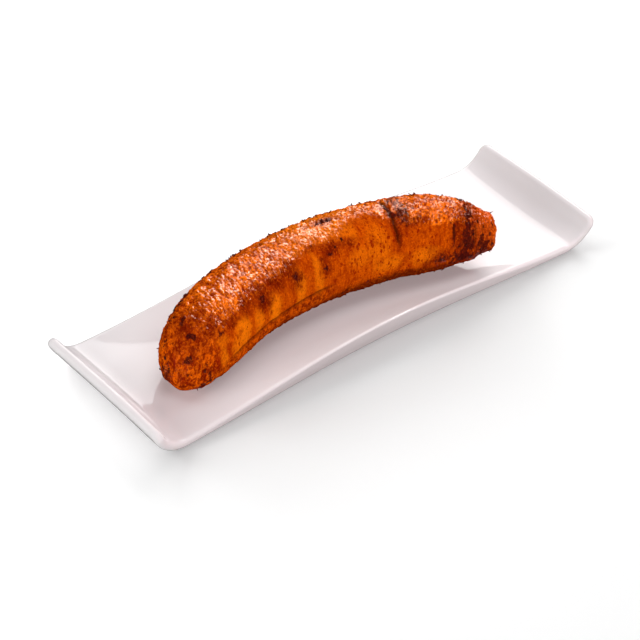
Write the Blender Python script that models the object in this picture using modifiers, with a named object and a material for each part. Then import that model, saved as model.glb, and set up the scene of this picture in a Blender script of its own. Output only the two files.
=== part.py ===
"""A whole fried plantain lying on its own narrow porcelain platter.

Metres, +Z up. The origin is the middle of the platter's footprint on the table. +X runs along the
platter, towards the plantain's cut end, and the plantain's hollow side faces -Y.
"""

import math

import bmesh
import bpy

NAME = "fried_plantain_platter"
GAP = 0.0003

# platter
PLATTER_LENGTH = 0.300
END_WIDTH = 0.0825
WAIST = 0.0019
THICKNESS = 0.0047
LIP_RADIUS = 0.0168
LIP_ANGLE = math.radians(75.0)
LIP_CROWN = 0.001
SIDE_RAISE = 0.0112
SIDE_RAISE_FADE = 0.0064
SIDE_INSET = 0.004
CORNER_RADIUS = 0.004
RIM_RADIUS = 0.0022
PLATTER_LENGTH_CELLS = 44
PLATTER_WIDTH_CELLS = 12
LIP_CELLS = 6

# plantain
BEND_RADIUS = 0.1944
BEND_CENTRE = (-0.0235, -0.1873)
BODY_RADIUS = 0.0203
REST_LIFT = 0.0005
LEFT_END = -0.0963
RIGHT_END = 0.1133
ROUND_END = (0.044, 3.1)
CUT_END = (0.0165, 3.7)
LEFT_TAPER = (0.064, 0.08)
RIGHT_TAPER = (0.048, 0.53)
LEFT_DROP = 0.64
RIGHT_DROP = 0.1
WIDTH_SHARE = 0.97
RIDGE_WIDTH = math.radians(20.0)
RIDGES = ((40.0, 0.0009), (108.0, 0.0008), (180.0, 0.0013), (250.0, 0.0008), (320.0, 0.0006))
RIDGE_FLOOR = 0.00045
PLANTAIN_RINGS = 58
PLANTAIN_SIDES = 40


def clamp(value, low, high):
    return max(low, min(high, value))


def smooth_material(name, colour, roughness):
    """A plain finish with no metal in it."""
    material = bpy.data.materials.new(name)
    material.use_nodes = True
    shader = material.node_tree.nodes["Principled BSDF"]
    shader.inputs["Base Color"].default_value = (*colour, 1.0)
    shader.inputs["Roughness"].default_value = roughness
    shader.inputs["Metallic"].default_value = 0.0
    return material


def finished(mesh, name, material, collection):
    """An object for a mesh, shaded smooth, in the part's collection."""
    mesh.shade_smooth()
    mesh.set_sharp_from_angle(angle=math.radians(50.0))
    mesh.materials.append(material)
    thing = bpy.data.objects.new(name, mesh)
    collection.objects.link(thing)
    return thing


LIP_LENGTH = LIP_RADIUS * LIP_ANGLE
FLOOR_HALF = PLATTER_LENGTH / 2 - (LIP_RADIUS + THICKNESS) * math.sin(LIP_ANGLE)


def side_raise(x):
    """How far the long edges stand above the floor, highest at mid-length."""
    share = clamp(x / (PLATTER_LENGTH / 2), -1.0, 1.0) ** 2
    return (1.0 - share) ** 2 * (SIDE_RAISE - SIDE_RAISE_FADE * share)


def half_width(x):
    """Half the platter's width, which narrows a little towards mid-length."""
    share = clamp(x / (PLATTER_LENGTH / 2), -1.0, 1.0) ** 2
    return END_WIDTH / 2 - WAIST * (1.0 - share)


def corner_cut(distance_to_end):
    """How much a rounded corner takes off the half width, near the end of the sheet."""
    if distance_to_end >= CORNER_RADIUS:
        return 0.0
    reach = CORNER_RADIUS - distance_to_end
    return CORNER_RADIUS - math.sqrt(CORNER_RADIUS**2 - reach**2)


def platter_station(cell):
    """Distance along the sheet from the middle, for the grid line at this cell."""
    half_cells = PLATTER_LENGTH_CELLS / 2
    steps_out = abs(cell - half_cells)
    floor_cells = half_cells - LIP_CELLS
    if steps_out <= floor_cells:
        distance = FLOOR_HALF * steps_out / floor_cells
    else:
        share = (steps_out - floor_cells) / LIP_CELLS
        distance = FLOOR_HALF + LIP_LENGTH * (share + 0.1 * math.sin(math.pi * share))
    return math.copysign(distance, cell - half_cells)


def floor_height(x, y):
    """Height of the platter's upper face between the lips."""
    return THICKNESS + side_raise(x) * (y / half_width(x)) ** 2


def platter_point(along, across, upper):
    """A point of the platter's upper or lower face, across from -1 to 1."""
    end = math.copysign(1.0, along)
    beyond = max(abs(along) - FLOOR_HALF, 0.0)
    slope = beyond / LIP_RADIUS
    radius = LIP_RADIUS if upper else LIP_RADIUS + THICKNESS
    x = end * (min(abs(along), FLOOR_HALF) + radius * math.sin(slope))
    lift = side_raise(x)
    inset = 0.0 if upper else SIDE_INSET * lift / SIDE_RAISE
    y = across * (half_width(x) - inset - corner_cut(FLOOR_HALF + LIP_LENGTH - abs(along)))
    z = THICKNESS + LIP_RADIUS - radius * math.cos(slope)
    z += LIP_CROWN * (1.0 - across**2) * beyond / LIP_LENGTH
    if upper:
        z += lift * across**2
    return x, y, z


def make_platter(collection):
    """A sheet of cells, thickened and then bent to the platter's two faces, with its edges rounded."""
    sheet = bmesh.new()
    bmesh.ops.create_grid(
        sheet, x_segments=PLATTER_LENGTH_CELLS, y_segments=PLATTER_WIDTH_CELLS, size=0.5
    )
    lifted = bmesh.ops.extrude_face_region(sheet, geom=sheet.faces[:])["geom"]
    upper = {item for item in lifted if isinstance(item, bmesh.types.BMVert)}
    for vertex in sheet.verts:
        along = platter_station((vertex.co.x + 0.5) * PLATTER_LENGTH_CELLS)
        across = vertex.co.y * 2.0
        vertex.co = platter_point(along, across, vertex in upper)
    bmesh.ops.recalc_face_normals(sheet, faces=sheet.faces[:])
    mesh = bpy.data.meshes.new("platter")
    sheet.to_mesh(mesh)
    sheet.free()
    glaze = smooth_material("white_glaze", (0.86, 0.84, 0.84), 0.12)
    platter = finished(mesh, "platter", glaze, collection)
    rim = platter.modifiers.new("rounded_rim", "BEVEL")
    rim.limit_method = "ANGLE"
    rim.angle_limit = math.radians(40.0)
    rim.width = RIM_RADIUS
    rim.segments = 3
    return platter


def section_swell(around):
    """How far the plantain's long ridges stand out of its round body at this angle."""
    swell = -RIDGE_FLOOR
    for angle, height in RIDGES:
        away = around - math.radians(angle)
        away = math.atan2(math.sin(away), math.cos(away))
        swell += height * math.exp(-((away / RIDGE_WIDTH) ** 2))
    return swell


def end_share(to_end, cap, taper):
    """The share of the full radius left at this distance from one end, from its cap and its taper."""
    capped = clamp(1.0 - to_end / cap[0], 0.0, 1.0)
    tapered = clamp(1.0 - to_end / taper[0], 0.0, 1.0)
    return (1.0 - capped ** cap[1]) ** (1.0 / cap[1]) * (1.0 - taper[1] * tapered**2)


def plantain_point(along, around):
    """A point of the plantain's skin. around is 0 on top and a quarter turn on the hollow side."""
    left = end_share(along - LEFT_END, ROUND_END, LEFT_TAPER)
    right = end_share(RIGHT_END - along, CUT_END, RIGHT_TAPER)
    radius = (BODY_RADIUS + section_swell(around)) * left * right
    out = BEND_RADIUS - radius * math.sin(around) * WIDTH_SHARE
    turn = along / BEND_RADIUS
    x = BEND_CENTRE[0] + out * math.sin(turn)
    y = BEND_CENTRE[1] + out * math.cos(turn)
    drop = LEFT_DROP * (1.0 - left) + RIGHT_DROP * (1.0 - right)
    z = THICKNESS + REST_LIFT + BODY_RADIUS * (1.0 - drop) + radius * math.cos(around)
    return x, y, max(z, floor_height(x, y) + GAP)


def plantain_station(share):
    """Distance along the bend for a share of the length, with rings closer together at the ends."""
    eased = 0.5 - 0.5 * math.cos(math.pi * share)
    mixed = 0.6 * eased + 0.4 * share
    return LEFT_END + (RIGHT_END - LEFT_END) * mixed


def make_plantain(collection):
    """A round ball drawn out along the bend: its poles become the two ends."""
    body = bmesh.new()
    bmesh.ops.create_uvsphere(body, u_segments=PLANTAIN_SIDES, v_segments=PLANTAIN_RINGS, radius=1.0)
    for vertex in body.verts:
        polar = math.acos(clamp(vertex.co.z, -1.0, 1.0))
        around = -math.atan2(vertex.co.y, vertex.co.x)
        vertex.co = plantain_point(plantain_station(polar / math.pi), around)
    mesh = bpy.data.meshes.new("plantain")
    body.to_mesh(mesh)
    body.free()
    crust = smooth_material("fried_crust", (0.62, 0.2, 0.02), 0.35)
    return finished(mesh, "plantain", crust, collection)


def main():
    for leftover in list(bpy.data.objects):
        bpy.data.objects.remove(leftover)
    collection = bpy.data.collections.new(NAME)
    bpy.context.scene.collection.children.link(collection)
    make_platter(collection)
    make_plantain(collection)


main()
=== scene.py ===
"""Looks of a whole fried plantain lying on a narrow white porcelain platter.

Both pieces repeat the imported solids' own formulas with far more cells. Geometry Nodes wrinkle the
plantain's skin, crack it and burn it, and scatter the loose burnt bits over it.
"""

import math
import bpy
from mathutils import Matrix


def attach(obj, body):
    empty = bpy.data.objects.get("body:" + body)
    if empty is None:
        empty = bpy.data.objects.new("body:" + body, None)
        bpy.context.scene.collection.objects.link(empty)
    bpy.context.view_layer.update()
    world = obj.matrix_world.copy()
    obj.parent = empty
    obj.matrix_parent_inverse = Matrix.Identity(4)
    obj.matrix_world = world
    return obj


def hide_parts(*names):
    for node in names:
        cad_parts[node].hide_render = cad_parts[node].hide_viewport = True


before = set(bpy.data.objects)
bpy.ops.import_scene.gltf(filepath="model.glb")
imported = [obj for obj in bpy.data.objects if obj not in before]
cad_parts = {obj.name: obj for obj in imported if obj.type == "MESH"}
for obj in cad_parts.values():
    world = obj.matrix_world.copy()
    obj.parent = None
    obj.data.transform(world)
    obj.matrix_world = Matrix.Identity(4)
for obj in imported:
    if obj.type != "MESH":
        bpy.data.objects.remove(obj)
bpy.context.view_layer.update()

from types import SimpleNamespace

import bmesh
import bpy
from mathutils import Matrix, Vector, kdtree

MM = 0.001

# platter, in metres
PLATTER_LENGTH = 0.300
END_WIDTH = 0.0825
WAIST = 0.0019
THICKNESS = 0.0047
LIP_RADIUS = 0.0168
LIP_ANGLE = math.radians(75.0)
LIP_CROWN = 0.001
SIDE_RAISE = 0.0112
SIDE_RAISE_FADE = 0.0064
SIDE_INSET = 0.004
CORNER_RADIUS = 0.004
RIM_RADIUS = 0.0022
LENGTH_STEP = 0.002
WIDTH_STEP = 0.0016
RIM_STEPS = 6
LIP_LENGTH = LIP_RADIUS * LIP_ANGLE
FLOOR_HALF = PLATTER_LENGTH / 2 - (LIP_RADIUS + THICKNESS) * math.sin(LIP_ANGLE)
SHEET_HALF = FLOOR_HALF + LIP_LENGTH
WIDTH_HALF = END_WIDTH / 2

# plantain, in millimetres and degrees
BEND_RADIUS = 194.4
BEND_CENTRE = (-23.5, -187.3)
BODY_RADIUS = 20.3
REST_HEIGHT = 5.2
REST_GAP = 0.3
LEFT_END = -96.3
RIGHT_END = 113.3
ROUND_END = (44.0, 3.1)
CUT_END = (16.5, 3.7)
LEFT_TAPER = (64.0, 0.08)
RIGHT_TAPER = (48.0, 0.53)
LEFT_DROP = 0.64
RIGHT_DROP = 0.1
WIDTH_SHARE = 0.97
LONG_RIDGES = ((40.0, 0.9), (108.0, 0.8), (180.0, 1.3), (250.0, 0.8), (320.0, 0.6))
RIDGE_WIDTH = 20.0
RIDGE_FLOOR = 0.45
RINGS = 540
SIDES = 182
TOP_SHARE = 0.42
TIP_SHARE = 0.05


# ---------------------------------------------------------------- node trees

def math_node(operation):
    """A method that adds one Math node."""
    return lambda number, *others: number.math(operation, *others)


class Value:
    """A number that a node tree works out. Python's operators on it add the Math nodes."""

    __add__ = __radd__ = math_node("ADD")
    __sub__ = math_node("SUBTRACT")
    __mul__ = __rmul__ = math_node("MULTIPLY")
    __truediv__ = math_node("DIVIDE")
    __pow__ = math_node("POWER")
    sin = math_node("SINE")
    cos = math_node("COSINE")
    size = math_node("ABSOLUTE")
    at_most = math_node("MINIMUM")
    at_least = math_node("MAXIMUM")

    def __init__(self, tree, socket):
        self.tree = tree
        self.socket = socket

    def math(self, operation, *others):
        return self.tree.value("ShaderNodeMath", {"operation": operation}, dict(enumerate((self, *others))))

    def __rsub__(self, other):
        return self * -1.0 + other

    def __neg__(self):
        return self * -1.0

    def clamped(self):
        return self.at_least(0.0).at_most(1.0)

    def bell(self, centre, width):
        """1 at the centre, falling to nothing a few widths away."""
        away = (self - centre) / width
        return (away * away * -1.0).math("EXPONENT")

    def rise(self, low, high):
        """0 below low and 1 above high, smooth between them. low may be the larger."""
        inputs = {"Value": self, "From Min": low, "From Max": high}
        return self.tree.value("ShaderNodeMapRange", {"interpolation_type": "SMOOTHSTEP"}, inputs)


class Tree:
    """A node tree, and short ways to add nodes to it."""

    def __init__(self, tree):
        self.tree = tree

    def node(self, kind, settings=None, inputs=None):
        """Adds a node: first its settings, then the values or links of its sockets."""
        made = self.tree.nodes.new(kind)
        for name, setting in (settings or {}).items():
            setattr(made, name, setting)
        self.fill(made, inputs or {})
        return made

    def fill(self, node, inputs):
        """Gives sockets of a node their values or links."""
        for key, given in inputs.items():
            source = given.socket if isinstance(given, Value) else given
            if isinstance(source, bpy.types.NodeSocket):
                self.tree.links.new(source, node.inputs[key])
            else:
                node.inputs[key].default_value = source

    def value(self, kind, settings=None, inputs=None, output=0):
        """The same, for a number that it puts out."""
        return Value(self, self.node(kind, settings, inputs).outputs[output])

    def result(self, kind, inputs, settings=None):
        """The same, for its first output of any kind."""
        return self.node(kind, settings, inputs).outputs[0]

    def attribute(self, name, kind="FLOAT"):
        """An attribute that the geometry keeps."""
        return self.result("GeometryNodeInputNamedAttribute", {0: name}, {"data_type": kind})

    def vector(self, x, y, z):
        return self.result("ShaderNodeCombineXYZ", {0: x, 1: y, 2: z})

    def parts(self, vector):
        split = self.node("ShaderNodeSeparateXYZ", None, {0: vector})
        return [Value(self, output) for output in split.outputs]

    def scaled(self, vector, by):
        return self.result("ShaderNodeVectorMath", {0: vector, 1: by}, {"operation": "MULTIPLY"})

    def shifted(self, vector, by):
        return self.result("ShaderNodeVectorMath", {0: vector, 1: by}, {"operation": "ADD"})

    def noise(self, vector, scale, detail=2.0, roughness=0.5):
        inputs = {"Vector": vector, "Scale": scale, "Detail": detail, "Roughness": roughness}
        return self.value("ShaderNodeTexNoise", None, inputs)

    def bump(self, height, strength, distance):
        """The surface's normal, as this height tilts it."""
        inputs = {"Strength": strength, "Distance": distance, "Height": height}
        return self.result("ShaderNodeBump", inputs)

    def colours(self, share, low, high):
        """The colour that lies between two colours at this share."""
        settings = {"data_type": "RGBA", "clamp_factor": True}
        mixed = self.node("ShaderNodeMix", settings, {0: share, 6: low, 7: high})
        return mixed.outputs[2]

    def layered(self, base, *layers):
        """A colour with others laid over it in turn, each at its own share."""
        for share, over in layers:
            base = self.colours(share, base, over)
        return base


def colour(red, green, blue):
    return red, green, blue, 1.0


def new_group(name, inputs, output):
    """A Geometry Nodes tree with these inputs, each a title and a kind of socket, and one result."""
    group = bpy.data.node_groups.new(name, "GeometryNodeTree")
    for title, kind in inputs.items():
        group.interface.new_socket(title, in_out="INPUT", socket_type="NodeSocket" + kind)
    group.interface.new_socket(output, in_out="OUTPUT", socket_type="NodeSocketGeometry")
    return group


def put_out(tree, made, material):
    """Gives a tree's result its material, and puts it out."""
    made = tree.result("GeometryNodeSetMaterial", {"Geometry": made, "Material": material})
    tree.node("NodeGroupOutput", None, {0: made})


def new_object(name, data):
    """An object in the scene, at its origin."""
    made = bpy.data.objects.new(name, data)
    bpy.context.scene.collection.objects.link(made)
    return made


def new_material(name):
    """A material, its node tree and its shader."""
    material = bpy.data.materials.new(name)
    material.use_nodes = True
    return material, Tree(material.node_tree), material.node_tree.nodes["Principled BSDF"]


# ---------------------------------------------------------------- platter

SHADED_WHITE = colour(0.70, 0.675, 0.68)
CLEAR_WHITE = colour(0.75, 0.73, 0.735)


def side_raise(x):
    """How far the long edges stand above the floor, highest at mid-length."""
    share = min(abs(x) / (PLATTER_LENGTH / 2), 1.0) ** 2
    return (1.0 - share) ** 2 * (SIDE_RAISE - SIDE_RAISE_FADE * share)


def half_width(x):
    """Half the platter's width, which narrows a little towards mid-length."""
    share = min(abs(x) / (PLATTER_LENGTH / 2), 1.0) ** 2
    return END_WIDTH / 2 - WAIST * (1.0 - share)


def platter_point(along, across, upper):
    """A point of the platter's upper or lower face, across from -1 to 1."""
    end = math.copysign(1.0, along)
    beyond = max(abs(along) - FLOOR_HALF, 0.0)
    slope = beyond / LIP_RADIUS
    radius = LIP_RADIUS if upper else LIP_RADIUS + THICKNESS
    x = end * (min(abs(along), FLOOR_HALF) + radius * math.sin(slope))
    lift = side_raise(x)
    inset = 0.0 if upper else SIDE_INSET * lift / SIDE_RAISE
    y = across * (half_width(x) - inset)
    z = THICKNESS + LIP_RADIUS - radius * math.cos(slope)
    z += LIP_CROWN * (1.0 - across**2) * beyond / LIP_LENGTH
    if upper:
        z += lift * across**2
    return Vector((x, y, z))


def sheet_point(along, side, upper):
    """The same, from two distances on the flat sheet, whose four corners are rounded off."""
    reach = Vector((abs(along) - (SHEET_HALF - CORNER_RADIUS), abs(side) - (WIDTH_HALF - CORNER_RADIUS)))
    if min(reach) > 0.0:
        reach = reach * (max(reach) / reach.length)
        along = math.copysign(SHEET_HALF - CORNER_RADIUS + reach.x, along)
        side = math.copysign(WIDTH_HALF - CORNER_RADIUS + reach.y, side)
    return platter_point(along, side / WIDTH_HALF, upper)


def sheet_lines(half, step):
    """Grid lines across the sheet, from one rim to the other, closer together by the rims."""
    near = [half - RIM_RADIUS - (CORNER_RADIUS - RIM_RADIUS) * share for share in (0.0, 0.34, 0.67, 1.0)]
    inner = half - CORNER_RADIUS
    count = math.ceil(inner / step)
    lines = near[:-1] + [inner * (1.0 - cell / count) for cell in range(count + 1)]
    return [-line for line in lines] + lines[-2::-1]


def rounded_edge(start, corner, end):
    """Points on the round that takes off a corner, from start to end."""
    weight = math.sqrt(0.5)
    points = []
    for step in range(1, RIM_STEPS):
        t = step / RIM_STEPS
        shares = ((1.0 - t) ** 2, 2.0 * weight * t * (1.0 - t), t * t)
        points.append((start * shares[0] + corner * shares[1] + end * shares[2]) / sum(shares))
    return points


def rim_points(along, side):
    """The rim's profile at one place of the sheet's border, from the upper face round to the lower."""
    near_end = abs(along) > SHEET_HALF - RIM_RADIUS * 1.01
    near_side = abs(side) > WIDTH_HALF - RIM_RADIUS * 1.01
    out_along = math.copysign(SHEET_HALF, along) if near_end else along
    out_side = math.copysign(WIDTH_HALF, side) if near_side else side
    top = sheet_point(out_along, out_side, True)
    foot = sheet_point(out_along, out_side, False)
    wall = foot - top
    shoulder = top + wall.normalized() * RIM_RADIUS
    heel = foot - wall.normalized() * RIM_RADIUS
    upper = rounded_edge(sheet_point(along, side, True), top, shoulder)
    lower = rounded_edge(heel, foot, sheet_point(along, side, False))
    return upper + [shoulder, shoulder.lerp(heel, 0.5), heel] + lower


def make_platter(glaze):
    """Two bent sheets of cells, one for each face, joined all round by a rounded rim."""
    alongs = sheet_lines(SHEET_HALF, LENGTH_STEP)
    sides = sheet_lines(WIDTH_HALF, WIDTH_STEP)
    last, far = len(alongs) - 1, len(sides) - 1
    border = [(i, 0) for i in range(last)] + [(last, j) for j in range(far)]
    border += [(i, far) for i in range(last, 0, -1)] + [(0, j) for j in range(far, 0, -1)]
    shell = bmesh.new()
    faces = {}
    for upper in (True, False):
        for i, along in enumerate(alongs):
            for j, side in enumerate(sides):
                faces[upper, i, j] = shell.verts.new(sheet_point(along, side, upper))
        for i in range(last):
            for j in range(far):
                cell = ((i, j), (i + 1, j), (i + 1, j + 1), (i, j + 1))
                shell.faces.new([faces[upper, *corner] for corner in cell])
    rings = [[faces[True, i, j] for i, j in border]]
    profiles = [rim_points(alongs[i], sides[j]) for i, j in border]
    rings += [[shell.verts.new(profile[step]) for profile in profiles] for step in range(len(profiles[0]))]
    rings.append([faces[False, i, j] for i, j in border])
    for ring, below in zip(rings, rings[1:]):
        for k in range(len(border)):
            shell.faces.new((ring[k - 1], ring[k], below[k], below[k - 1]))
    bmesh.ops.recalc_face_normals(shell, faces=shell.faces[:])
    mesh = bpy.data.meshes.new("porcelain_platter")
    shell.to_mesh(mesh)
    shell.free()
    mesh.shade_smooth()
    mesh.materials.append(glaze)
    return new_object("porcelain_platter", mesh)


def glaze_material():
    """White porcelain under a clear, nearly flat glaze."""
    material, tree, shader = new_material("white_glaze")
    place = tree.node("ShaderNodeTexCoord").outputs["Object"]
    orange_peel = tree.noise(place, 420.0, detail=1.0)
    tree.fill(shader, {
        "Base Color": tree.colours(tree.noise(place, 14.0, detail=3.0), SHADED_WHITE, CLEAR_WHITE),
        "Normal": tree.bump(orange_peel, 0.04, 0.0002),
        "Roughness": 0.05,
        "IOR": 1.52,
    })
    return material


# ---------------------------------------------------------------- plantain

def clamped(number):
    """From 0 to 1, for a plain number as well as one that a node tree works out."""
    return number.clamped() if isinstance(number, Value) else min(max(number, 0.0), 1.0)


def end_share(to_end, cap, taper):
    """The share of the full radius left at this distance from one end, from its cap and its taper."""
    capped = clamped(1.0 - to_end / cap[0])
    tapered = clamped(1.0 - to_end / taper[0])
    return (1.0 - capped ** cap[1]) ** (1.0 / cap[1]) * (1.0 - tapered * tapered * taper[1])


def end_shares(along):
    """The shares left at this place along the body by its left end and by its right end."""
    left = end_share(along - LEFT_END, ROUND_END, LEFT_TAPER)
    return left, end_share(RIGHT_END - along, CUT_END, RIGHT_TAPER)


def turned_away(around, degrees):
    """The angle between two directions round the body, in radians, from -pi to pi."""
    away = around - math.radians(degrees)
    return away.sin().math("ARCTAN2", away.cos())


def section_swell(around):
    """How far the long ridges stand out of the round body at this angle, in millimetres."""
    swell = -RIDGE_FLOOR
    for angle, height in LONG_RIDGES:
        swell = swell + turned_away(around, angle).bell(0.0, math.radians(RIDGE_WIDTH)) * height
    return swell


def floor_under(x, y):
    """Height of the platter's upper face at a point given in millimetres."""
    share = (x / (PLATTER_LENGTH / 2 / MM)).size().at_most(1.0) ** 2.0
    lift = (1.0 - share) ** 2.0 * (SIDE_RAISE - share * SIDE_RAISE_FADE) / MM
    width = END_WIDTH / 2 / MM - (1.0 - share) * (WAIST / MM)
    return lift * (y / width) ** 2.0 + THICKNESS / MM


def straight_place(along, around, radius):
    """Where a point of the skin would be if the plantain were straight, in millimetres."""
    turn = math.radians(around)
    return along, radius * math.sin(turn), radius * math.cos(turn)


def body_radius(along):
    """The plain radius of the body at this place along it, in millimetres."""
    left, right = end_shares(along)
    return BODY_RADIUS * left * right


# browned patches of the skin: along, around, half length, half girth, strength
SOFT_BROWN = (
    (-19.5, 46.0, 6.0, 8.0, 1.0), (-31.0, 39.0, 9.0, 6.0, 0.9), (-45.0, 45.0, 7.5, 8.0, 1.0),
    (-58.0, 42.0, 7.0, 4.5, 0.9), (-71.0, 42.0, 7.0, 3.0, 0.8), (-2.0, 24.0, 5.0, 2.5, 0.6),
    (9.0, 35.0, 9.0, 4.0, 1.0), (2.5, 54.0, 4.5, 7.0, 0.9), (20.0, 36.0, 8.0, 3.0, 0.8),
    (-84.0, -18.0, 8.0, 7.0, 0.7), (-90.0, 8.0, 6.0, 8.0, 0.6), (-81.0, 26.0, 6.0, 5.0, 0.7),
    (102.0, 74.0, 9.0, 14.0, 0.6), (95.0, 96.0, 11.0, 8.0, 1.0), (56.0, 24.0, 6.0, 7.0, 0.9),
    (51.0, 30.0, 3.0, 13.0, 1.0), (98.0, 10.0, 5.0, 12.0, 0.8), (16.0, -12.0, 9.0, 3.0, 0.8),
    (63.0, 30.0, 8.0, 2.0, 0.7), (88.0, 62.0, 5.0, 11.0, 1.0), (92.0, 44.0, 4.5, 12.0, 0.9),
    (77.0, 94.0, 9.0, 5.0, 0.9), (71.0, 76.0, 3.0, 3.0, 0.6),
)
# burnt patches, the same way
BURNT = (
    (58.5, -14.0, 6.0, 7.0, 0.65), (59.5, 2.0, 5.0, 6.0, 0.7), (57.5, 18.0, 5.0, 7.0, 0.75),
    (64.0, 26.0, 5.0, 2.6, 0.55), (51.5, 4.0, 1.8, 7.0, 1.0), (95.5, -34.0, 1.8, 5.0, 1.0),
    (95.3, 14.0, 2.0, 7.0, 1.0), (94.5, 37.0, 3.2, 5.0, 0.85), (94.0, 54.0, 4.0, 5.0, 0.85),
    (94.0, 76.0, 6.0, 5.0, 0.9), (103.0, 80.0, 4.0, 4.5, 0.85), (105.5, 95.0, 4.0, 4.0, 0.9),
    (92.0, 99.0, 9.0, 4.5, 0.95), (79.0, 95.0, 6.0, 3.0, 0.8), (85.0, 60.0, 0.9, 10.0, 0.8),
    (-19.0, 50.0, 2.0, 2.6, 0.9), (-46.5, 47.0, 2.4, 2.6, 0.9), (7.5, 42.0, 2.0, 1.2, 0.9),
    (2.8, 58.0, 0.9, 1.7, 1.0), (-83.0, -24.0, 3.0, 1.2, 1.0), (-88.4, 3.0, 1.4, 2.4, 1.0),
    (-94.6, 15.0, 1.2, 2.6, 0.9), (-66.0, -52.0, 3.0, 1.6, 1.0), (-80.0, 40.0, 2.4, 1.2, 0.8),
    (-91.5, 86.0, 1.0, 2.4, 0.7), (16.5, -12.0, 5.0, 1.8, 0.9), (-93.5, 112.0, 1.6, 4.0, 0.8),
    (-95.3, -98.0, 1.6, 4.5, 0.8),
)
# brighter golden patches of the smooth face, the same way
GOLDEN = (
    (-17.0, 60.0, 4.0, 9.0, 0.9), (-38.5, 70.0, 5.0, 7.0, 1.0), (-52.0, 71.0, 4.0, 6.0, 0.8),
    (-66.0, 66.0, 6.0, 7.0, 1.0), (-73.0, 80.0, 5.0, 5.0, 0.8), (-83.0, 80.0, 3.0, 7.0, 0.9),
    (-18.0, 84.0, 3.0, 3.0, 0.7), (26.0, 62.0, 8.0, 5.0, 0.5), (44.0, 84.0, 9.0, 4.0, 0.7),
    (68.0, 84.0, 9.0, 5.0, 0.7), (24.0, 22.0, 4.0, 7.0, 0.5), (-3.0, 66.0, 3.0, 13.0, 0.7),
    (38.0, 56.0, 7.0, 12.0, 0.5), (-82.0, 52.0, 4.0, 5.0, 0.8), (103.0, 40.0, 4.0, 7.0, 0.6),
)
# cracks that run round the body: along, from, to, half width, depth
CRACKS = (
    (51.6, -32.0, 14.0, 1.5, 1.0), (50.6, 0.0, 66.0, 1.1, 1.0), (84.6, 34.0, 70.0, 0.5, 0.7),
    (91.0, 26.0, 60.0, 0.4, 0.5), (97.4, -46.0, 34.0, 0.7, 0.8), (98.6, 36.0, 86.0, 0.6, 0.9),
    (103.5, 10.0, 74.0, 0.45, 0.6), (107.5, -30.0, 62.0, 0.45, 0.5), (66.5, 44.0, 62.0, 0.35, 0.3),
    (76.0, 50.0, 84.0, 0.35, 0.3), (-29.0, 52.0, 76.0, 0.4, 0.3), (-8.0, 50.0, 74.0, 0.4, 0.25),
)


def patches(tree, place, table, raggedness):
    """1 on the patches of a table and 0 off them, with uneven edges."""
    wobble = (tree.noise(place, 0.35, detail=3.0, roughness=0.65) - 0.5) * raggedness
    covered = None
    for along, around, length, girth, strength in table:
        middle = straight_place(along, around, body_radius(along))
        moved = tree.shifted(place, tuple(-m for m in middle))
        shape = tree.scaled(moved, (1.0 / length, 1.0 / girth, 1.0 / girth))
        reach = tree.value("ShaderNodeVectorMath", {"operation": "LENGTH"}, {0: shape}, 1)
        patch = (reach + wobble).rise(1.45, 0.5) * strength
        covered = patch if covered is None else covered.at_least(patch)
    return covered


def edge_wobble(tree, place):
    """How far the edges of the finishes wander, in degrees round the body."""
    return (tree.noise(place, 0.16, detail=4.0, roughness=0.7) - 0.5) * 26.0


def off_the_platter(degrees):
    """1 where the skin is free to swell, and 0 underneath, where it rests."""
    return degrees.size().rise(150.0, 120.0)


def bent_body(tree, body):
    """Draws a ball out along the bend. Gives each point's place in metres, its place in millimetres on a
    straight plantain, and its angle round the body in radians."""
    x, y, z = tree.parts(tree.node("GeometryNodeInputPosition").outputs[0])
    share = z.at_least(-1.0).at_most(1.0).math("ARCCOSINE") / math.pi
    near_left = (share / TIP_SHARE).math("TANH")
    near_right = ((1.0 - share) / TIP_SHARE).math("TANH")
    eased = (share - (near_left - near_right + 1.0) * TIP_SHARE) / (1.0 - 2.0 * TIP_SHARE)
    along = eased.clamped() * (RIGHT_END - LEFT_END) + LEFT_END
    turned = -y.math("ARCTAN2", x)
    around = turned - turned.sin() * TOP_SHARE
    left, right = end_shares(along)
    radius = (body + section_swell(around)) * left * right
    out = BEND_RADIUS - radius * around.sin() * WIDTH_SHARE
    turn = along / BEND_RADIUS
    bent_x = out * turn.sin() + BEND_CENTRE[0]
    bent_y = out * turn.cos() + BEND_CENTRE[1]
    drop = (1.0 - left) * LEFT_DROP + (1.0 - right) * RIGHT_DROP
    height = (1.0 - drop) * BODY_RADIUS + REST_HEIGHT + radius * around.cos()
    height = height.at_least(floor_under(bent_x, bent_y) + REST_GAP)
    bent = tree.scaled(tree.vector(bent_x, bent_y, height), (MM, MM, MM))
    straight = tree.vector(along, radius * around.sin(), radius * around.cos())
    return bent, straight, around


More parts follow.
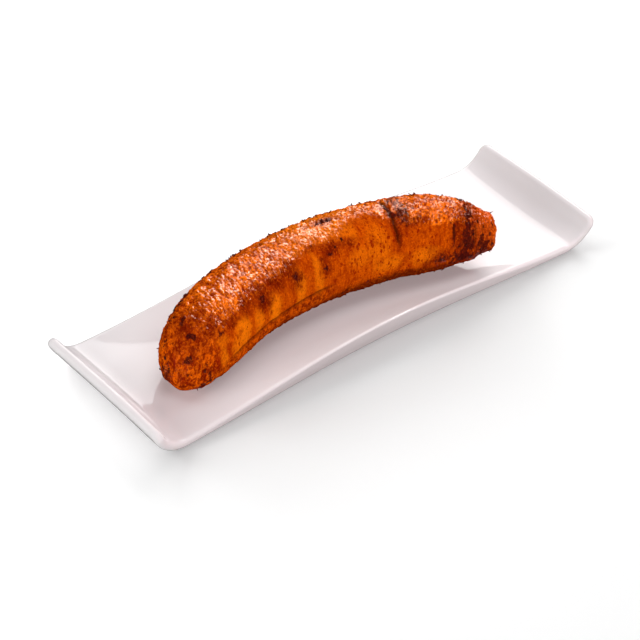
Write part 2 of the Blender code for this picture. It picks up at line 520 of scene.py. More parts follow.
def finishes(tree, place, degrees):
    """How much of each finish the skin has at a place, from 0 to 1, by name."""
    along = tree.parts(place)[0]
    ragged = edge_wobble(tree, place)
    frayed = (tree.noise(place, 0.6, detail=3.0, roughness=0.7) - 0.5) * 30.0
    ridge = 40.0 - along.bell(34.0, 16.0) * 40.0 - along.bell(0.0, 16.0) * 17.0
    soft = 7.0 + along.bell(28.0, 22.0) * 16.0
    upper = (degrees + ragged + frayed - ridge).rise(soft, -soft) * (degrees - ragged).rise(-128.0, -104.0)
    cap = (along + ragged * 0.25).rise(-84.0, -89.0)
    stub = (along + ragged * 0.12).rise(93.0, 97.0)
    ledge = (degrees + ragged * 0.15).rise(86.0, 93.0) * along.rise(14.0, -2.0)
    under = (degrees + ragged * 0.7 - along.rise(20.0, 0.0) * 8.0).rise(97.0, 110.0)
    under = under * along.rise(-92.0, -80.0)
    brown = patches(tree, place, SOFT_BROWN, 1.6)
    char = patches(tree, place, BURNT, 3.0)

    oil = tree.noise(place, 0.28, detail=4.0, roughness=0.7).rise(0.4, 0.56)
    lit = upper * (degrees + ragged * 0.5).rise(-46.0, -26.0)
    gloss = lit.rise(0.45, 1.0) * (0.08 + oil * 0.92) * (1.0 - cap * 0.95) * (1.0 - stub * 0.3)
    gloss = gloss * (1.0 - along.bell(76.0, 10.0) * 0.5) * (1.0 - brown * 0.6)
    gloss = gloss.at_least(stub * 0.25 * oil)
    gloss = gloss.at_least(char * tree.noise(place, 0.6, detail=2.0).rise(0.56, 0.64) * 0.8)

    skyline = (degrees - along * 0.11).bell(-46.0, 8.0)
    flaked = skyline * 6.5 + under * 0.9 + stub * 0.5 + cap * 0.15
    specked = skyline * 6.0 + under + stub + ledge * 0.3 + cap * 0.2
    free = off_the_platter(degrees)
    return {
        "upper": upper.at_least(cap).at_least(stub),
        "gloss": gloss,
        "brown": brown,
        "golden": patches(tree, place, GOLDEN, 1.2),
        "cap": (along + ragged * 0.4).rise(-70.0, -84.0),
        "stub": stub,
        "flesh": along.rise(111.4, 112.6),
        "ledge": ledge,
        "under": under,
        "char": char,
        "scorched": (brown * 0.05 + char * 0.3 + flaked) * free,
        "peppered": (0.06 + specked + along.rise(-10.0, 30.0) * 0.2 + brown * 0.2) * free,
    }


def ridged(tree, place, scale, detail, roughness, steepness):
    """1 on the crests of winding ridges, falling to 0 beside them."""
    noise = tree.noise(place, scale, detail=detail, roughness=roughness)
    return (1.0 - ((noise - 0.5) * 2.0).size() * steepness).at_least(0.0)


def wrinkles(tree, place, around):
    """Wrinkles of three kinds, from 0 to 1: slanting folds, a crinkle across them, and fine pleats."""
    x, y, z = tree.parts(place)
    girth = around * (y * y + z * z) ** 0.5
    bend = (tree.noise(place, 0.14, detail=2.0, roughness=0.6) - 0.5) * 8.0
    patchy = tree.noise(place, 0.11, detail=2.0)
    slant = 0.55 - x.rise(-60.0, 10.0) * 0.35
    draw = 0.24 + x.rise(-50.0, 20.0) * 0.2
    across = tree.vector(x + girth * slant + bend, y * draw, z * draw)
    folds = ridged(tree, across, 0.36, 2.0, 0.5, 3.6) * patchy.rise(0.25, 0.55)
    counter = tree.vector(x - girth * 0.4 - bend * 0.6, y * 0.45, z * 0.45)
    crinkle = ridged(tree, counter, 0.7, 1.5, 0.5, 3.0) * (1.3 - patchy)
    strokes = tree.vector(x + girth * 0.3 + bend * 0.3, y * 0.28, z * 0.28)
    pleats = ridged(tree, strokes, 0.6, 2.5, 0.6, 3.4)
    return folds, crinkle, pleats


def cracked(tree, place, degrees):
    """How deep the cracks are at a place, from 0 to 1."""
    along = tree.parts(place)[0]
    wandering = along + (tree.noise(place, 0.2, detail=2.0) - 0.5) * 2.4
    crack = 0.0
    for middle, start, stop, width, depth in CRACKS:
        shut = degrees.rise(start, start + 12.0) * degrees.rise(stop, stop - 16.0)
        crack = wandering.bell(middle, width) * shut * depth + crack
    return crack


def skin_relief(tree, place, around, finish, setting):
    """How far the skin stands out at a place, in millimetres, and masks of its crests and grooves, for
    painted highlight and shade.
    """
    along = tree.parts(place)[0]
    degrees = around * math.degrees(1.0)
    crust, under, ledge = finish["upper"], finish["under"], finish["ledge"]
    folds, crinkle, pleats = wrinkles(tree, place, around)
    crack = cracked(tree, place, degrees)
    lumps = (tree.noise(place, 0.045, detail=2.0) - 0.5) * 0.6
    knobs = (tree.noise(place, 0.17, detail=2.5, roughness=0.6) - 0.5) * 2.0 * setting["Lump height"]
    nubs = (tree.noise(place, 0.5, detail=2.0, roughness=0.6) - 0.5) * 0.7
    grain = (tree.noise(place, 2.0, detail=1.0) - 0.5) * 0.12
    streaks = (tree.noise(tree.scaled(place, (1.0, 0.16, 0.16)), 0.4, detail=2.5) - 0.5) * 0.55
    streaks = streaks + (tree.noise(place, 0.22, detail=3.0) - 0.5) * 1.1
    scorch = (tree.noise(place, 0.9, detail=3.0, roughness=0.7) - 0.3) * finish["char"]

    rough = folds * setting["Wrinkle depth"] + crinkle * setting["Crinkle depth"]
    rough = rough + pleats * setting["Pleat depth"] + grain + knobs + nubs - 0.35
    rough = crust.at_least(under * 0.6).at_least(ledge * 0.6) * rough + (1.0 - crust) * streaks
    crease = (degrees + edge_wobble(tree, place) * 0.12).bell(89.0, 1.6)
    crease = crease * along.rise(12.0, 0.0) * along.rise(-86.0, -70.0)
    bulge = degrees.bell(98.0, 7.0) * along.rise(12.0, -8.0) * 0.5
    sag = degrees.bell(118.0, 16.0) * along.rise(-30.0, 0.0) * along.rise(60.0, 30.0) * 1.1
    brim = along.bell(110.5, 1.6) * 0.8 - along.bell(105.5, 3.0) * 0.7
    relief = lumps + rough + bulge + sag + brim + scorch * 0.7
    relief = relief - crease * setting["Crease depth"] - crack * setting["Crack depth"]
    # painted highlight: the crust's colour is lighter on these wrinkle crests
    crest = (folds * 0.4 + crinkle * 0.25 + pleats * 0.5) * crust
    # the grooves get painted shade in the crust's colour
    return relief * off_the_platter(degrees), {"crest": crest, "groove": crease.at_least(crack)}


def skin_tree():
    """The plantain's rule: a ball drawn out along the bend, then wrinkled, creased and burnt."""
    settings = {
        "Body radius": BODY_RADIUS,
        "Wrinkle depth": 0.62,
        "Crinkle depth": 0.3,
        "Pleat depth": 0.28,
        "Lump height": 1.0,
        "Crease depth": 0.6,
        "Crack depth": 0.8,
    }
    kinds = {**dict.fromkeys(settings, "Float"), "Crust": "Material"}
    group = new_group("plantain_skin", kinds, "Plantain")
    tree = Tree(group)
    given = tree.node("NodeGroupInput")
    setting = {name: Value(tree, given.outputs[name]) for name in settings}

    def kept(geometry, name, source, data_type="FLOAT"):
        options = {"data_type": data_type, "domain": "POINT"}
        inputs = {"Geometry": geometry, "Name": name, "Value": source}
        return tree.result("GeometryNodeStoreNamedAttribute", inputs, options)

    ball = tree.node("GeometryNodeMeshUVSphere", None, {"Segments": SIDES, "Rings": RINGS, "Radius": 1.0})
    bent, straight, around = bent_body(tree, setting["Body radius"])
    made = kept(ball.outputs["Mesh"], "straight", straight, "FLOAT_VECTOR")
    made = kept(made, "around", around)
    made = tree.result("GeometryNodeSetPosition", {"Geometry": made, "Position": bent})

    place = tree.attribute("straight", "FLOAT_VECTOR")
    around = Value(tree, tree.attribute("around"))
    finish = finishes(tree, place, around * math.degrees(1.0))
    relief, marks = skin_relief(tree, place, around, finish, setting)
    for name, share in {**finish, **marks}.items():
        made = kept(made, name, share)
    facing = {0: tree.node("GeometryNodeInputNormal").outputs[0], "Scale": relief * MM}
    moved = tree.result("ShaderNodeVectorMath", facing, {"operation": "SCALE"})
    made = tree.result("GeometryNodeSetPosition", {"Geometry": made, "Offset": moved})
    put_out(tree, made, given.outputs["Crust"])
    return group, settings


def grown(name, group, settings, start=None):
    """Runs a Geometry Nodes tree with these named inputs and returns its result as a plain mesh object."""
    seed = new_object(name + "_seed", start or bpy.data.meshes.new(name + "_seed"))
    modifier = seed.modifiers.new(name, "NODES")
    modifier.node_group = group
    for socket in group.interface.items_tree:
        if socket.in_out == "INPUT" and socket.name in settings:
            modifier[socket.identifier] = settings[socket.name]
    graph = bpy.context.evaluated_depsgraph_get()
    mesh = bpy.data.meshes.new_from_object(
        seed.evaluated_get(graph), preserve_all_data_layers=True, depsgraph=graph
    )
    bpy.data.objects.remove(seed)
    mesh.name = name
    mesh.shade_smooth()
    return new_object(name, mesh)


def spots(tree, place, largest):
    """1 on small spots of many sizes, one at most for each cell of this pattern, and 0 between them."""
    cells = tree.node("ShaderNodeTexVoronoi", {"feature": "F1"}, {"Vector": place, "Scale": 1.0})
    away = Value(tree, cells.outputs["Distance"])
    luck, chosen, _ = tree.parts(cells.outputs["Color"])
    size = (luck**2.0 * 0.6 + 0.4) * chosen.rise(0.22, 0.32) * largest
    return (away - size).rise(0.03, -0.06)


# colours of the crust
DARK_GOLD = colour(0.33, 0.027, 0.0002)
GOLD = colour(0.60, 0.088, 0.0006)
BRIGHT_GOLD = colour(0.78, 0.165, 0.002)
FACE_BLOTCH = colour(0.24, 0.014, 0.0003)
FACE_DOT = colour(0.22, 0.009, 0.0003)
TOP_SHADE = colour(0.17, 0.008, 0.0005)
TOP_RED = colour(0.62, 0.072, 0.0014)
# painted highlight on the crests of the top's wrinkles
TOP_CREST_HIGHLIGHT = colour(1.0, 0.19, 0.006)
TOP_MOTTLE = colour(0.15, 0.006, 0.0005)
TOP_BLOTCH = colour(0.24, 0.011, 0.0006)
TOP_DULL = colour(0.24, 0.014, 0.0006)
# painted light: a lighter amber laid over the middle of the top
TOP_LIT_AMBER = colour(1.0, 0.26, 0.012)
TIP_ORANGE = colour(0.66, 0.09, 0.001)
TIP_BLOTCH = colour(0.24, 0.010, 0.0005)
# painted highlight on the round tip's wrinkle crests
TIP_CREST_HIGHLIGHT = colour(0.78, 0.13, 0.002)
TIP_MOTTLE = colour(0.15, 0.005, 0.0003)
TIP_GRAIN = colour(0.11, 0.004, 0.0003)
# the stub's brown and orange: partly its own mottling, partly painted shade below and painted light on top
STUB_BROWN = colour(0.12, 0.007, 0.002)
STUB_ORANGE = colour(0.76, 0.1, 0.006)
LEDGE_ORANGE = colour(0.58, 0.08, 0.001)
LEDGE_BROWN = colour(0.14, 0.007, 0.0006)
UNDERSIDE = colour(0.07, 0.004, 0.0005)
BROWNED = colour(0.20, 0.012, 0.0006)
SINGED = colour(0.08, 0.003, 0.0003)
CHARRED = colour(0.06, 0.005, 0.003)
CHAR_BLACK = colour(0.028, 0.003, 0.003)
DUST_DARK = colour(0.14, 0.005, 0.0003)
DUST_BRIGHT = colour(0.82, 0.13, 0.002)
FLESH = colour(0.62, 0.13, 0.012)
FLESH_PALE = colour(0.86, 0.32, 0.07)
# painted shade: dark brown in the crease and the cracks
GROOVE_SHADE = colour(0.05, 0.006, 0.001)


def crust_pattern(tree):
    """What the crust's colours depend on: the skin's own masks, its places, and noises of several sizes."""
    masks = (
        "around", "upper", "gloss", "crest", "brown", "golden", "cap", "stub", "flesh", "ledge", "under",
        "char", "groove",
    )
    on = SimpleNamespace()
    for name in masks:
        setattr(on, name, tree.value("ShaderNodeAttribute", {"attribute_name": name}, None, "Fac"))
    place = tree.node("ShaderNodeAttribute", {"attribute_name": "straight"}).outputs["Vector"]
    on.place = place
    on.x, y, on.above = tree.parts(place)
    on.girth = on.around * (y * y + on.above * on.above) ** 0.5
    girthwise = tree.scaled(place, (1.0, 0.22, 0.22))
    on.band = tree.noise(girthwise, 0.13, detail=3.0, roughness=0.55)
    on.streak = tree.noise(girthwise, 0.8, detail=3.0, roughness=0.6)
    on.blotch = tree.noise(place, 0.16, detail=4.0, roughness=0.65)
    on.mottle = tree.noise(place, 0.42, detail=3.0, roughness=0.65)
    on.grain = tree.noise(place, 0.9, detail=4.0, roughness=0.7)
    on.dust = tree.noise(place, 0.95, detail=3.0, roughness=0.7)
    drawn = tree.scaled(place, (1.0, 0.6, 0.6))
    on.speck = tree.noise(drawn, 0.75, detail=3.0, roughness=0.75)
    on.fine = tree.noise(drawn, 0.9, detail=4.0, roughness=0.7)
    return on


def smooth_face(tree, on):
    """The golden side, banded round the body, with dots and short ticks that are thicker to the right."""
    scatter = (tree.noise(on.place, 0.8, detail=2.0) - 0.5) * 1.6
    right_half = on.x.rise(-10.0, 30.0)

    def sprinkled(across, round_about, drift, number, largest):
        pattern = (on.x * across + scatter * drift, on.girth * round_about, scatter + number)
        return spots(tree, tree.vector(*pattern), largest)

    freckles = sprinkled(0.24, 0.17, 0.3, 0.0, 0.28)
    dots = sprinkled(0.38, 0.3, 0.4, 7.0, 0.4)
    ticks = sprinkled(0.5, 0.2, 0.5, 3.0, 0.38)
    dotted = (freckles * 0.8).at_least(dots * (0.5 + right_half * 0.4)).at_least(ticks * right_half * 0.9)
    gold = on.band.rise(0.3, 0.7) * 0.5 + on.streak.rise(0.3, 0.7) * 0.5
    return tree.layered(
        tree.colours(gold, DARK_GOLD, GOLD),
        (on.golden * (0.55 + on.streak * 0.7), BRIGHT_GOLD),
        (on.blotch.rise(0.5, 0.74) * 0.7, FACE_BLOTCH),
        (dotted, FACE_DOT),
    )


def wrinkled_top(tree, on):
    """The redder, oily top, with painted highlight on the crests of its wrinkles and painted light over its
    middle.
    """
    return tree.layered(
        tree.colours(on.grain.rise(0.35, 0.6), TOP_SHADE, TOP_RED),
        # painted highlight on the wrinkle crests
        (on.crest.rise(0.2, 0.75), TOP_CREST_HIGHLIGHT),
        (on.mottle.rise(0.5, 0.6) * 0.6, TOP_MOTTLE),
        (on.blotch.rise(0.46, 0.64) * 0.6, TOP_BLOTCH),
        ((1.0 - on.gloss.rise(0.0, 0.2)) * 0.35, TOP_DULL),
        # painted light: the top is lighter amber towards its middle
        (on.x.bell(15.0, 28.0) * 0.4, TOP_LIT_AMBER),
    )


def round_tip(tree, on):
    """The dry mottled crust of the round end, with painted highlight on its crests."""
    return tree.layered(
        tree.colours(on.blotch.rise(0.4, 0.56), TIP_ORANGE, TIP_BLOTCH),
        # painted highlight on the crests
        (on.crest.rise(0.3, 0.8) * 0.5, TIP_CREST_HIGHLIGHT),
        (on.mottle.rise(0.48, 0.58) * 0.75, TIP_MOTTLE),
        (on.grain.rise(0.5, 0.66) * 0.5, TIP_GRAIN),
    )


def crust_colour(tree, on):
    """The whole crust: its face, top and ends, then what is browned, burnt and dusted over them, and
    painted shade in the grooves.
    """
    # painted light and shade: the stub turns orange towards its top and brown below, mixed with its own
    # mottled grain
    grain_and_lit_top = (on.grain.rise(0.4, 0.6) + on.above.rise(-3.0, 8.0) * 0.6).clamped()
    stub = tree.colours(grain_and_lit_top, STUB_BROWN, STUB_ORANGE)
    ledge = tree.colours(on.mottle.rise(0.4, 0.6), LEDGE_ORANGE, LEDGE_BROWN)
    cut_face = tree.colours(on.streak, FLESH, FLESH_PALE)
    singed = (on.brown * 1.2 + (on.speck - 0.5) * 3.0 + (on.blotch - 0.5) * 1.6 - 0.7).rise(0.0, 1.0)
    burnt = (on.char * 1.5 + (on.speck - 0.5) * 2.6 - 0.5).rise(0.1, 0.8)
    return tree.layered(
        tree.colours(on.upper, smooth_face(tree, on), wrinkled_top(tree, on)),
        (on.cap * 0.85 * (1.0 - on.golden * 0.8), round_tip(tree, on)),
        (on.stub * 0.8, stub),
        (on.ledge * 0.8, ledge),
        ((on.under * (0.6 + on.grain)).clamped() * 0.85, UNDERSIDE),
        ((on.brown * (0.5 + on.blotch)).clamped() * 0.8, BROWNED),
        (singed * 0.8, SINGED),
        (burnt * 0.93, CHARRED),
        ((burnt + (on.grain - 0.5) * 2.5).rise(0.85, 1.25) * 0.8, CHAR_BLACK),
        (on.dust.rise(0.5, 0.64) * (on.upper * 0.3 + 0.35), DUST_DARK),
        (on.dust.rise(0.46, 0.34) * 0.4 * (1.0 - on.char), DUST_BRIGHT),
        (on.flesh * 0.85, cut_face),
        # painted shade in the crease and the cracks
        (on.groove * 0.85, GROOVE_SHADE),
    )


def crust_material():
    """Fried plantain: matt flesh, with a thin clear coat of oil where the skin is wrinkled."""
    material, tree, shader = new_material("fried_crust")
    on = crust_pattern(tree)
    sheen = tree.noise(on.place, 0.8, detail=3.0, roughness=0.7).rise(0.44, 0.56) * 0.8 + 0.2
    tree.fill(shader, {
        "Base Color": crust_colour(tree, on),
        "Roughness": 0.5,
        "Specular IOR Level": 0.0,
        "Coat Weight": on.gloss * sheen * (1.0 - on.char * 0.6),
        "Coat Roughness": 0.12,
        "Coat IOR": 2.4,
        "Normal": tree.bump(on.fine * (0.45 + on.upper * 0.55), 0.9, 0.0008),
    })
    return material


def make_plantain(crust):
    group, settings = skin_tree()
    return grown("fried_plantain", group, {**settings, "Crust": crust})


# ---------------------------------------------------------------- loose burnt bits

# places of single specks on the smooth face: along, around
SPECKS = (
    (7.5, 44.0), (2.8, 58.0), (0.2, 64.0), (23.1, 46.0), (30.5, 46.0), (46.6, 70.0), (11.2, 75.0),
    (23.1, 74.0), (-11.0, 60.0), (-15.0, 70.0), (-39.5, 60.0), (-61.0, 56.0), (35.0, 62.0), (60.0, 62.0),
    (66.0, 50.0), (73.0, 58.0), (58.0, 78.0), (40.0, 80.0), (15.0, 62.0), (-4.0, 72.0), (83.0, 70.0),
    (77.0, 84.0), (33.0, 92.0),
)
# places of larger charred flakes, the same way
FLAKES = (
    (-83.2, -22.0), (-84.6, -24.0), (-88.3, 4.0), (-94.7, 16.0), (-91.4, 103.0), (-66.0, -52.0),
    (-52.0, -50.0), (-20.0, 49.0), (-46.5, 46.0), (17.7, 30.0), (11.4, 37.0), (16.0, -12.0), (19.0, -11.0),
    (57.0, 6.0), (60.0, 14.0), (52.0, 2.0), (97.0, -30.0), (96.6, 20.0), (100.0, 34.0), (97.0, 60.0),
    (93.0, 77.0), (104.0, 44.0), (108.0, 60.0), (103.0, 95.0), (-93.0, 70.0), (-96.0, 40.0), (83.0, 40.0),
    (110.0, 90.0),
)
# places of curled threads that stand off the skin, and how long each is in millimetres
WISPS = (
    (-87.0, -92.0, 1.6), (83.5, -36.0, 1.2), (90.5, -35.0, 1.4), (97.9, -34.0, 1.8), (110.6, -34.0, 2.8),
    (109.0, 112.0, 1.4), (-66.0, -55.0, 1.0), (30.0, -56.0, 1.0), (102.0, -70.0, 1.6), (-90.0, 150.0, 1.2),
    (66.0, -50.0, 1.0), (-30.0, -56.0, 1.0), (12.0, -55.0, 1.0), (48.0, -50.0, 1.2), (94.0, 104.0, 1.4),
)
# how far a burnt bit may lean over, in radians
TILT = 0.75


def points_on(skin, places):
    """A mesh of single points on the skin, each with the direction that the skin faces there."""
    straight = skin.data.attributes["straight"].data
    finder = kdtree.KDTree(len(straight))
    for index, there in enumerate(straight):
        finder.insert(there.vector, index)
    finder.balance()
    mesh = bpy.data.meshes.new("points")
    found = [finder.find(straight_place(s, a, body_radius(s)))[1] for s, a, *_ in places]
    mesh.from_pydata([skin.data.vertices[index].co for index in found], [], [])
    facing = mesh.attributes.new("facing", "FLOAT_VECTOR", "POINT")
    for index, normal in zip(found, facing.data):
        normal.vector = skin.data.vertices[index].normal
    return mesh


def shaken(tree, made, scale, detail, reach):
    """Moves each point aside by a smooth noise, at most half this reach."""
    position = tree.node("GeometryNodeInputPosition").outputs[0]
    pattern = {"Vector": position, "Scale": scale, "Detail": detail}
    aside = tree.node("ShaderNodeTexNoise", None, pattern).outputs["Color"]
    aside = {0: tree.shifted(aside, (-0.5, -0.5, -0.5)), "Scale": reach}
    aside = tree.result("ShaderNodeVectorMath", aside, {"operation": "SCALE"})
    return tree.result("GeometryNodeSetPosition", {"Geometry": made, "Offset": aside})


def off_the_skin(tree):
    """The turn that stands an instance's own Z on the skin."""
    facing = {"Vector": tree.attribute("facing", "FLOAT_VECTOR")}
    return tree.result("FunctionNodeAlignRotationToVector", facing, {"axis": "Z"})


def planted(tree, points, thing, turn, size):
    """Copies of a thing at these points, as plain geometry."""
    laid = {"Points": points, "Instance": thing, "Rotation": turn, "Scale": size}
    made = tree.result("GeometryNodeInstanceOnPoints", laid)
    return tree.result("GeometryNodeRealizeInstances", {"Geometry": made})


def bits_tree():
    """The rule for burnt bits: a thin uneven plate at every point given, and more strewn by density."""
    sizes = ("Bits per square metre", "Smallest", "Largest", "Flatness", "Unevenness")
    inputs = {"Points": "Geometry", "Skin": "Object", **dict.fromkeys(sizes, "Float")}
    inputs.update({"Where": "String", "Seed": "Int", "Char": "Material"})
    group = new_group("burnt_bits", inputs, "Bits")
    tree = Tree(group)
    given = tree.node("NodeGroupInput").outputs

    skin = tree.node("GeometryNodeObjectInfo", None, {"Object": given["Skin"]}).outputs["Geometry"]
    density = Value(tree, tree.attribute(given["Where"])) * Value(tree, given["Bits per square metre"])
    strewn = {"Mesh": skin, "Density": density, "Seed": given["Seed"]}
    strewn = tree.node("GeometryNodeDistributePointsOnFaces", {"distribute_method": "RANDOM"}, strewn)
    facing = {"Geometry": strewn.outputs["Points"], "Name": "facing", "Value": strewn.outputs["Normal"]}
    vectors = {"data_type": "FLOAT_VECTOR", "domain": "POINT"}
    strewn = tree.result("GeometryNodeStoreNamedAttribute", facing, vectors)
    placed = tree.result("GeometryNodeMeshToPoints", {"Mesh": given["Points"]})
    both = tree.node("GeometryNodeJoinGeometry")
    tree.fill(both, {0: strewn})
    tree.fill(both, {0: placed})

    plate = {"Size": (1.0, 0.45, 1.0), "Vertices X": 5, "Vertices Y": 4, "Vertices Z": 2}
    plate = tree.node("GeometryNodeMeshCube", None, plate).outputs["Mesh"]
    plate = {"Geometry": plate, "Scale": tree.vector(1.0, 1.0, given["Flatness"])}
    plate = tree.result("GeometryNodeTransform", plate)
    turn = {"Min": (-TILT, -TILT, 0.0), "Max": (TILT, TILT, math.tau), "Seed": given["Seed"]}
    turn = tree.result("FunctionNodeRandomValue", turn, {"data_type": "FLOAT_VECTOR"})
    turn = tree.result("FunctionNodeEulerToRotation", {"Euler": turn})
    turn = {0: off_the_skin(tree), 1: turn}
    turn = tree.result("FunctionNodeRotateRotation", turn, {"rotation_space": "LOCAL"})
    size = {2: given["Smallest"], 3: given["Largest"], "Seed": given["Seed"]}
    size = tree.node("FunctionNodeRandomValue", {"data_type": "FLOAT"}, size).outputs[1]
    made = planted(tree, both.outputs[0], plate, turn, size)
    put_out(tree, shaken(tree, made, 900.0, 2.0, given["Unevenness"]), given["Char"])
    return group


def wisp_tree():
    """The rule for wisps: a thin thread at every point given, tapering and curling away from the skin."""
    inputs = {"Points": "Geometry", "Thickness": "Float", "Curl": "Float", "Char": "Material"}
    group = new_group("wisp", inputs, "Wisps")
    tree = Tree(group)
    given = tree.node("NodeGroupInput").outputs
    thread = {"Start": (0.0, 0.0, -0.15), "End": (0.0, 0.0, 1.0)}
    thread = tree.result("GeometryNodeCurvePrimitiveLine", thread, {"mode": "POINTS"})
    thread = tree.result("GeometryNodeResampleCurve", {"Curve": thread, "Count": 9})
    placed = tree.result("GeometryNodeMeshToPoints", {"Mesh": given["Points"]})
    made = planted(tree, placed, thread, off_the_skin(tree), tree.attribute("length"))
    up = Value(tree, tree.node("GeometryNodeSplineParameter").outputs["Factor"])
    made = shaken(tree, made, 330.0, 1.0, up * Value(tree, given["Curl"]))
    section = tree.result("GeometryNodeCurvePrimitiveCircle", {"Resolution": 6, "Radius": 1.0})
    thick = (1.1 - up) * Value(tree, given["Thickness"])
    tube = {"Curve": made, "Profile Curve": section, "Scale": thick, "Fill Caps": True}
    put_out(tree, tree.result("GeometryNodeCurveToMesh", tube), given["Char"])
    return group


def char_material(name, dark, light):
    """Burnt sugar and skin: dark brown, a little shiny, rougher in some places than others."""
    material, tree, shader = new_material(name)
    place = tree.node("ShaderNodeTexCoord").outputs["Object"]
    tree.fill(shader, {
        "Base Color": tree.colours(tree.noise(place, 500.0).rise(0.35, 0.65), dark, light),
        "Specular IOR Level": 0.12,
        "Roughness": 0.4 + tree.noise(place, 260.0, detail=1.0) * 0.4,
    })
    return material


def make_bits(skin):
    """The burnt bits, one piece of each kind."""
    strewing = bits_tree()
    char = char_material("charred_bits", colour(0.03, 0.003, 0.001), colour(0.12, 0.008, 0.001))
    browned = char_material("browned_specks", colour(0.07, 0.004, 0.0005), colour(0.22, 0.014, 0.001))
    flakes = {
        "Bits per square metre": 26000.0, "Smallest": 0.0007, "Largest": 0.0022, "Flatness": 0.16,
        "Unevenness": 0.0009, "Where": "scorched", "Seed": 3,
    }
    specks = {
        "Bits per square metre": 22000.0, "Smallest": 0.0004, "Largest": 0.0009, "Flatness": 0.25,
        "Unevenness": 0.0003, "Where": "peppered", "Seed": 8,
    }
    threads = points_on(skin, WISPS)
    length = threads.attributes.new("length", "FLOAT", "POINT")
    for (_, _, reach), item in zip(WISPS, length.data):
        item.value = reach * MM
    return (
        grown("char_flakes", strewing, {"Skin": skin, "Char": char, **flakes}, points_on(skin, FLAKES)),
        grown("char_specks", strewing, {"Skin": skin, "Char": browned, **specks}, points_on(skin, SPECKS)),
        grown("char_wisps", wisp_tree(), {"Thickness": 0.0004, "Curl": 0.003, "Char": char}, threads),
    )


# ---------------------------------------------------------------- studio

CAMERA_AZIMUTH = -49.0
CAMERA_ELEVATION = 39.21
CAMERA_ROLL = 10.06
CAMERA_DISTANCE = 1.01595
CAMERA_TARGET = Vector((-0.0169, -0.00754, 0.0))
CAMERA_LENS = 115.93

WHITE = (1.0, 1.0, 1.0)
AMBER = (1.0, 0.69, 0.57)
ROSE = (1.0, 0.94, 0.955)
DEEP_ROSE = (1.0, 0.72, 0.74)
WARM_WHITE = (1.0, 0.98, 0.97)

# where the soft lamps stand: azimuth and elevation in degrees, distance and size in metres
BACK_BOX = ((130.0, 34.0), 0.9, (0.62, 0.55))
GLINT_BOX = ((130.0, 34.0), 0.88, (0.62, 0.55))
SIDE_BOX = ((80.0, 50.0), 1.5, (0.5, 0.12))
BACK_FILL = ((130.0, 40.0), 3.0, (1.8, 1.8))
OVER_FILL = ((0.0, 89.0), 3.0, (2.2, 2.2))
RIGHT_FILL = ((41.0, 20.0), 3.0, (2.4, 0.9))
FRONT_FILL = ((-40.0, 22.0), 3.0, (2.4, 1.4))
LEFT_FILL = ((-90.0, 20.0), 3.0, (2.4, 1.2))
# the lamps of the table top, and how bright each is
TABLE_LAMPS = {
    "left": (((185.0, 30.0), 2.0, (1.0, 1.0)), 2.8),
    "low": (((165.0, 20.0), 2.0, (1.0, 0.8)), 5.6),
    "far_left": (((225.0, 30.0), 2.0, (1.2, 1.0)), 5.0),
    "high": (((195.0, 55.0), 2.0, (1.2, 1.2)), 0.7),
    "back": (((132.0, 30.0), 2.0, (1.0, 1.0)), 5.9),
    "over": (((165.0, 85.0), 2.0, (2.6, 2.6)), 0.8),
}


def direction(azimuth, elevation):
    """Points out from the object: azimuth 0 is towards -Y and 90 towards +X."""
    turn = math.radians(azimuth)
    lift = math.radians(elevation)
    return Vector((math.sin(turn) * math.cos(lift), -math.cos(turn) * math.cos(lift), math.sin(lift)))


def make_camera():
    back = direction(CAMERA_AZIMUTH, CAMERA_ELEVATION)
    level = Vector((0.0, 0.0, 1.0)).cross(back).normalized()
    upright = back.cross(level)
    roll = math.radians(CAMERA_ROLL)
    right = level * math.cos(roll) + upright * math.sin(roll)
    up = upright * math.cos(roll) - level * math.sin(roll)
    data = bpy.data.cameras.new("camera")
    data.lens = CAMERA_LENS
    data.sensor_width = 36.0
    camera = new_object("camera", data)
    camera.matrix_world = Matrix.Translation(CAMERA_TARGET + back * CAMERA_DISTANCE) @ Matrix(
        (right, up, back)
    ).transposed().to_4x4()
    bpy.context.scene.camera = camera


def softbox(name, stand, brightness, lit, tint=WHITE, glossy=False, diffuse=True, shade=True):
    """A rectangular lamp that faces the object and lights only what is linked to it."""
    place, distance, size = stand
    data = bpy.data.lights.new(name, "AREA")
    data.shape = "RECTANGLE"
    data.size, data.size_y = size
    data.energy = math.pi * size[0] * size[1] * brightness
    data.color = tint
    data.use_shadow = shade
    lamp = new_object(name, data)
    out = direction(*place)
    lamp.location = out * distance
    lamp.rotation_mode = "QUATERNION"
    lamp.rotation_quaternion = out.to_track_quat("Z", "Y")
    lamp.visible_glossy = glossy
    lamp.visible_diffuse = diffuse
    lamp.light_linking.receiver_collection = lit


def lit_group(name, things):
    """The things that some lamps light, and nothing else."""
    group = bpy.data.collections.new(name)
    for thing in things:
        group.objects.link(thing)
    return group


def make_table():
    """A plain white table top, a little bright of itself so that it runs out to white."""
    mesh = bpy.data.meshes.new("table_top")
    plane = bmesh.new()
    bmesh.ops.create_grid(plane, x_segments=1, y_segments=1, size=6.0)
    plane.to_mesh(mesh)
    plane.free()
    paper, tree, shader = new_material("white_paper")
    tree.fill(shader, {
        "Base Color": colour(0.9, 0.9, 0.9),
        "Roughness": 0.9,
        "Specular IOR Level": 0.0,
        "Emission Color": colour(1.0, 1.0, 1.0),
        "Emission Strength": 0.245,
    })
    mesh.materials.append(paper)
    table = new_object("table_top", mesh)
    table.location.z = -0.0002
    table.visible_glossy = False
    return table


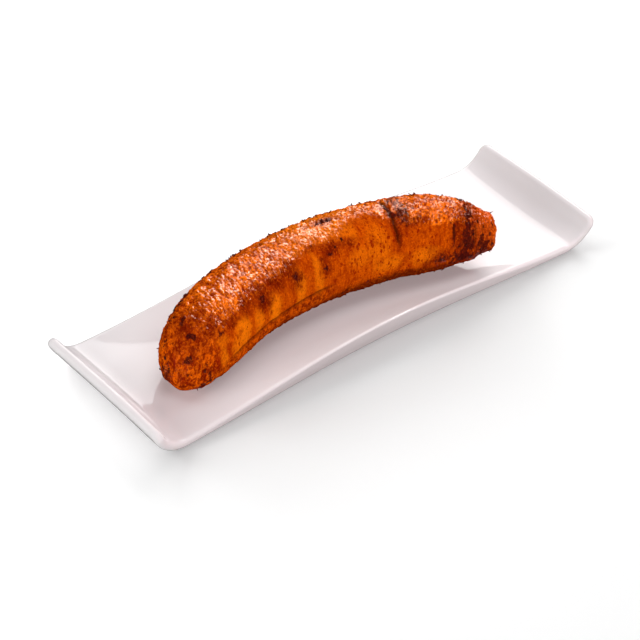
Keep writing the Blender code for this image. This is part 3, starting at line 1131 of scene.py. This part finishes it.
def make_studio(dish, food):
    """The table, a dark world, and soft lamps of their own for the table, the dish and the food."""
    table = make_table()
    world = bpy.data.worlds.new("studio")
    world.use_nodes = True
    world.node_tree.nodes["Background"].inputs["Strength"].default_value = 0.0
    bpy.context.scene.world = world
    bpy.context.scene.view_settings.view_transform = "Standard"
    on_table = lit_group("lit_table", [table])
    on_dish = lit_group("lit_dish", [dish])
    on_food = lit_group("lit_food", food)
    for name, (stand, brightness) in TABLE_LAMPS.items():
        softbox(f"table_{name}_lamp", stand, brightness, on_table)
    softbox("dish_back_softbox", BACK_BOX, 3.0, on_dish, glossy=True)
    softbox("dish_side_softbox", SIDE_BOX, 21.0, on_dish, glossy=True)
    softbox("dish_back_fill", BACK_FILL, 2.0, on_dish)
    softbox("dish_over_fill", OVER_FILL, 1.8, on_dish, ROSE)
    softbox("dish_under_fill", OVER_FILL, 2.4, on_dish, ROSE, shade=False)
    softbox("dish_right_fill", RIGHT_FILL, 6.8, on_dish, DEEP_ROSE)
    softbox("dish_front_fill", FRONT_FILL, 2.0, on_dish)
    softbox("dish_left_fill", LEFT_FILL, 5.0, on_dish, WARM_WHITE)
    softbox("food_back_softbox", BACK_BOX, 3.0, on_food)
    softbox("food_back_glint", GLINT_BOX, 6.2, on_food, AMBER, glossy=True, diffuse=False)
    softbox("food_side_softbox", SIDE_BOX, 21.0, on_food, AMBER, glossy=True)
    softbox("food_back_fill", BACK_FILL, 3.2, on_food)
    softbox("food_over_fill", OVER_FILL, 2.6, on_food)
    softbox("food_right_fill", RIGHT_FILL, 4.8, on_food)
    softbox("food_front_fill", FRONT_FILL, 4.4, on_food)
    softbox("food_left_fill", LEFT_FILL, 4.2, on_food)


def main():
    make_camera()
    platter = make_platter(glaze_material())
    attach(platter, "root")
    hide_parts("platter")
    plantain = make_plantain(crust_material())
    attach(plantain, "root")
    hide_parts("plantain")
    loose = make_bits(plantain)
    for bits in loose:
        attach(bits, "root")
    make_studio(platter, [plantain, *loose])


main()
